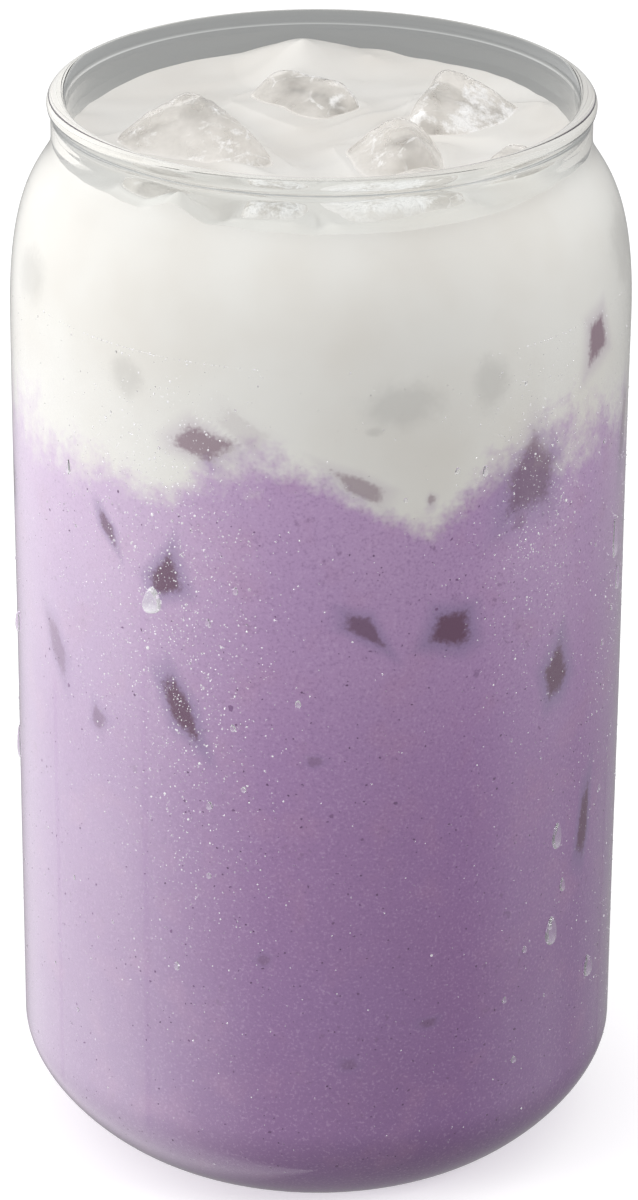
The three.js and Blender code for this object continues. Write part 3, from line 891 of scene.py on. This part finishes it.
# Dew: water from the air, condensed in fine beads on the cold outside of the glass.
# It is thickest over the drink on the left, and a few beads have run together.
DEW_BEADS = 7600
DEW_PROFILE = [(0, -0.3), (1, -0.3), (0.75, 0.6), (0, 1)]
DEW_LOW, DEW_HIGH = 8.0, 116.0
DEW_SIZE, DEW_SPREAD = 0.06, 0.4  # usual half width, and the spread of its logarithm
DEW_LEAST, DEW_MOST = 0.03, 0.25
DEW_BULGE = 0.6
DEW_CORNERS = 6
DEW_GATHERED = 0.75  # share of the beads that lie about a centre
# Angle, height, and the spread of each, of the places where the dew gathers.
DEW_CENTRES = [(-24, 88, 9, 14), (-24, 66, 9, 22), (-40, 84, 10, 20), (44, 92, 8, 12), (74, 60, 10, 26)]

OUTER_FOOT_POINTS = 20  # at the start of the outside's outline
outer = outside_outline()[OUTER_FOOT_POINTS:]


def outer_radius(z):
    """Radius of the glass's outside at a height, read along its outline."""
    return np.interp(z, outer[:, 1], outer[:, 0])


def dew_finish():
    """Fine beads of water: clear, and as white as each is painted, a painted highlight for the glint of light
    in it.
    """
    material, tree, _ = new_finish("dew beads")
    water = principled(tree, Base_Color=linear(252, 252, 253), Roughness=0.0, IOR=1.33,
                       Transmission_Weight=1.0)
    white = principled(tree, Base_Color=linear(250, 249, 251), Roughness=0.2, IOR=1.33)
    end_finish(tree, blended(tree, painted(tree, "white"), water, white))
    return material


random = np.random.default_rng(23)
centre = np.array(DEW_CENTRES)[random.integers(0, len(DEW_CENTRES), DEW_BEADS)]
gathered = random.uniform(size=DEW_BEADS) < DEW_GATHERED
dew_angle = np.where(gathered, random.normal(centre[:, 0], centre[:, 2]),
                     random.uniform(-180, 180, DEW_BEADS))
dew_height = np.where(gathered, random.normal(centre[:, 1], centre[:, 3]),
                      random.uniform(DEW_LOW, DEW_HIGH, DEW_BEADS)).clip(DEW_LOW, DEW_HIGH)
dew_size = np.exp(random.normal(np.log(DEW_SIZE), DEW_SPREAD, DEW_BEADS)).clip(DEW_LEAST, DEW_MOST)
dew_length = dew_size * random.uniform(0.9, 1.4, DEW_BEADS)
dew_lean = random.uniform(-20, 20, DEW_BEADS)
dew = wall_beads("dew_beads", outer_radius, dew_angle, dew_height, dew_size, dew_length,
                 dew_size * DEW_BULGE, DEW_PROFILE, np.ones((DEW_BEADS, DEW_CORNERS)), dew_lean)
# Painted highlights: beads painted white for the glints of light in them, whiter where they gather.
dew_glint = np.where(gathered, random.uniform(0.1, 0.7, DEW_BEADS), random.uniform(0.0, 0.4, DEW_BEADS))
paint(dew, "white", np.repeat(dew_glint, len(dew.data.vertices) // DEW_BEADS))
dew.data.materials.append(dew_finish())
lamps_pass(dew)
belongs(dew, "clear_glass")


# Drops: beads of dew that have run together and hang on the glass, rounder and thicker at the foot.
# They are clear water, and cling to the outside.
# Angle and height of each, half width and half height.
DROPS = [
    (-31.4, 84.7, 1.25, 1.75), (49.7, 36.4, 1.0, 1.9), (64.1, 27.2, 0.9, 1.6), (50.7, 49.4, 0.8, 1.8),
    (53, 42, 0.5, 1.0), (-20, 59.2, 0.42, 0.55), (-20.2, 49.7, 0.36, 0.4), (-26.8, 36.3, 0.4, 0.6),
    (-13.5, 62, 0.34, 0.4), (-15.5, 70, 0.34, 0.5), (-52, 98, 0.4, 0.9), (72, 84, 0.7, 2.6),
    (75, 78, 0.6, 1.6), (-80, 70, 0.7, 1.5), (-84, 52, 0.6, 2.2), (118, 57, 1.1, 1.6), (155, 70, 0.9, 1.5),
    (-150, 63, 1.0, 1.7), (-112, 88, 0.8, 1.4), (176, 44, 0.7, 1.2), (98, 33, 0.8, 1.3),
]
SMALL_DROPS = 60
SMALL_LEAST, SMALL_MOST = 0.16, 0.42
SMALL_LOW, SMALL_HIGH = 12, 112
DROP_CORNERS = 20
DROP_BULGE = 0.6
FIRST_SHINE, OTHER_SHINE = 1.0, 0.4  # the first drop, the biggest, catches the most light
BODY_SHINE, FOOT_SHINE = 0.2, 0.5
DROP_TEAR = 0.22
DROP_PROFILE = [(0, -0.1), (1, -0.1), (0.97, 0.25), (0.85, 0.58), (0.65, 0.82), (0.35, 0.96), (0, 1)]


def water_finish():
    """Clear water with faint waves. The foot of a drop, as painted, shines white: a painted highlight for the
    light that the drop gathers.
    """
    material, tree, place = new_finish("water drops")
    waves = bumped(tree, noise(tree, place, 1.5), 0.02)
    water = principled(tree, Base_Color=linear(252, 252, 253), Roughness=0.0, IOR=1.33,
                       Transmission_Weight=1.0, Normal=waves)
    shine = principled(tree, Base_Color=linear(252, 251, 253), Roughness=0.1, IOR=1.33, Normal=waves)
    end_finish(tree, blended(tree, painted(tree, "foot"), water, shine))
    return material


random = np.random.default_rng(37)
small_size = random.uniform(SMALL_LEAST, SMALL_MOST, SMALL_DROPS)
small_angle = random.uniform(-180, 180, SMALL_DROPS)
small_height = random.uniform(SMALL_LOW, SMALL_HIGH, SMALL_DROPS)
small_length = small_size * random.uniform(1.0, 1.7, SMALL_DROPS)
small = np.stack([small_angle, small_height, small_size, small_length], axis=1)
drop_angle, drop_height, drop_width, drop_length = np.vstack([DROPS, small]).T
drop_turn = around(DROP_CORNERS)
drop_outline = 1 + 0.06 * np.sin(2 * drop_turn + drop_angle[:, None])
drop_outline += 0.05 * np.sin(3 * drop_turn + drop_height[:, None])
drops = wall_beads("water_drops", outer_radius, drop_angle, drop_height, drop_width, drop_length,
                   drop_width * DROP_BULGE, DROP_PROFILE, drop_outline, 0.0, DROP_TEAR)
# Painted highlight: white painted on each drop, most at its foot and on the first drop, for the light that a
# drop gathers.
drop_rings = np.array(DROP_PROFILE)[1:-1, :1]
drop_highlight = BODY_SHINE + FOOT_SHINE * smooth(-drop_rings * np.sin(drop_turn), 0.3, 0.9)
drop_highlight = np.append(drop_highlight.ravel(), [BODY_SHINE, BODY_SHINE])
drop_shine = np.where(np.arange(len(drop_angle)) == 0, FIRST_SHINE, OTHER_SHINE)
paint(drops, "foot", np.outer(drop_shine, drop_highlight).ravel())
drops.data.materials.append(water_finish())
lamps_pass(drops)
belongs(drops, "clear_glass")


# The stage: a plain pale floor, a big soft lamp on the left with a small one to fill the right, and a
# studio dome that is bright on the left. The camera looks down on the glass from the front, as a long
# lens does.
FLOOR_SIZE = 6.0
FLOOR_GLOW = 0.26
floor = piece_from("floor", np.array([(-1, -1, 0), (1, -1, 0), (1, 1, 0), (-1, 1, 0)]) * FLOOR_SIZE / 2 / MM,
                   np.array([[0, 1, 2, 3]]))
floor_finish, tree, place = new_finish("pale floor")
floor_clouds = noise(tree, place, 90).step(-0.3, 0.3)
floor_colour = mixed(tree, floor_clouds, linear(246, 246, 246), linear(250, 250, 250))
end_finish(tree, principled(tree, Base_Color=floor_colour, Roughness=0.9, Specular_IOR_Level=0.0,
                            Emission_Color=(1, 1, 1, 1), Emission_Strength=FLOOR_GLOW))
floor.data.materials.append(floor_finish)
floor.visible_diffuse = False
floor.visible_glossy = False
floor.visible_transmission = False
floor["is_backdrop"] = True

# Where each change of the dome's light starts and ends: in degrees round, or as the way's height.
CARD_RIGHT, CARD_LEFT, CARD_TOP = (-95.0, -40.0), (-172.0, -140.0), (0.4, 0.8)
HORIZON, OVERHEAD, THROUGH_RISE = (-0.3, 0.3), (0.55, 0.95), (-0.1, 0.3)
SKY_LOW, SKY_HIGH = 0.34, 0.76  # light from below and from above
CARD_LIGHT = 0.62  # added by the card on the left
SKY_TOP = 1.1  # how much brighter it is right overhead
BACKDROP = 1.0  # what the camera sees behind the glass
THROUGH_LOW, THROUGH_HIGH = 0.31, 0.73  # what shows through glass, water and ice, level and above
world = bpy.data.worlds.new("studio")
bpy.context.scene.world = world
world.use_nodes = True
tree = world.node_tree
tree.nodes.clear()
way = Wire.node(tree, "ShaderNodeTexCoord", output="Generated")
azimuth, way_z = degrees_round(way), way.part("Z")
left_card = (1 - azimuth.step(*CARD_RIGHT)) * azimuth.step(*CARD_LEFT) * (1 - way_z.step(*CARD_TOP))
light = way_z.step(*HORIZON) * (SKY_HIGH - SKY_LOW) + SKY_LOW + left_card * CARD_LIGHT
light = light * (1 - way_z.step(*OVERHEAD) * (1 - SKY_TOP))
seen = Wire.node(tree, "ShaderNodeLightPath", output="Is Camera Ray")
through = Wire.node(tree, "ShaderNodeLightPath", output="Is Transmission Ray")
through_light = THROUGH_LOW + way_z.step(*THROUGH_RISE) * (THROUGH_HIGH - THROUGH_LOW)
level = light * (1 - seen) * (1 - through) + seen * BACKDROP + through * through_light
end = Wire.node(tree, "ShaderNodeBackground", {}, {"Color": (1, 1, 1, 1), "Strength": level})
Wire.node(tree, "ShaderNodeOutputWorld", {}, {"Surface": end})


def soft_lamp(name, place, aim, size, power):
    """A square lamp at a place, turned to a point. It lights, but does not show in the glass."""
    lamp = bpy.data.lights.new(name, "AREA")
    lamp.shape = "SQUARE"
    lamp.size = size
    lamp.energy = power
    holder = bpy.data.objects.new(name, lamp)
    bpy.context.collection.objects.link(holder)
    holder.location = place
    holder.rotation_euler = (Vector(aim) - holder.location).to_track_quat("-Z", "Y").to_euler()
    holder.visible_glossy = False
    holder.visible_transmission = False


soft_lamp("key", (-0.63, -0.24, 0.2), (0, 0, 0.07), 0.3, 2.7)
soft_lamp("fill", (0.2, -0.12, 0.24), (0.03, 0, 0.09), 0.12, 0.24)

FOCAL_PIXELS = 4745.0
IMAGE_HEIGHT = 1200
PITCH, ROLL = 24.497, 0.34
CAMERA_PLACE = (0, -0.54389, 0.31798)
camera = bpy.data.objects.new("camera", bpy.data.cameras.new("camera"))
bpy.context.collection.objects.link(camera)
camera.data.sensor_width = 36.0
camera.data.lens = FOCAL_PIXELS * camera.data.sensor_width / IMAGE_HEIGHT
camera.matrix_world = (Matrix.Translation(CAMERA_PLACE) @ Matrix.Rotation(np.radians(90 - PITCH), 4, "X")
                       @ Matrix.Rotation(np.radians(ROLL), 4, "Z"))
bpy.context.scene.camera = camera
bpy.context.scene.view_settings.view_transform = "Standard"

size = {"cad": [list(corner) for corner in cad_box], "visual": [list(corner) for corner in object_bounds()]}
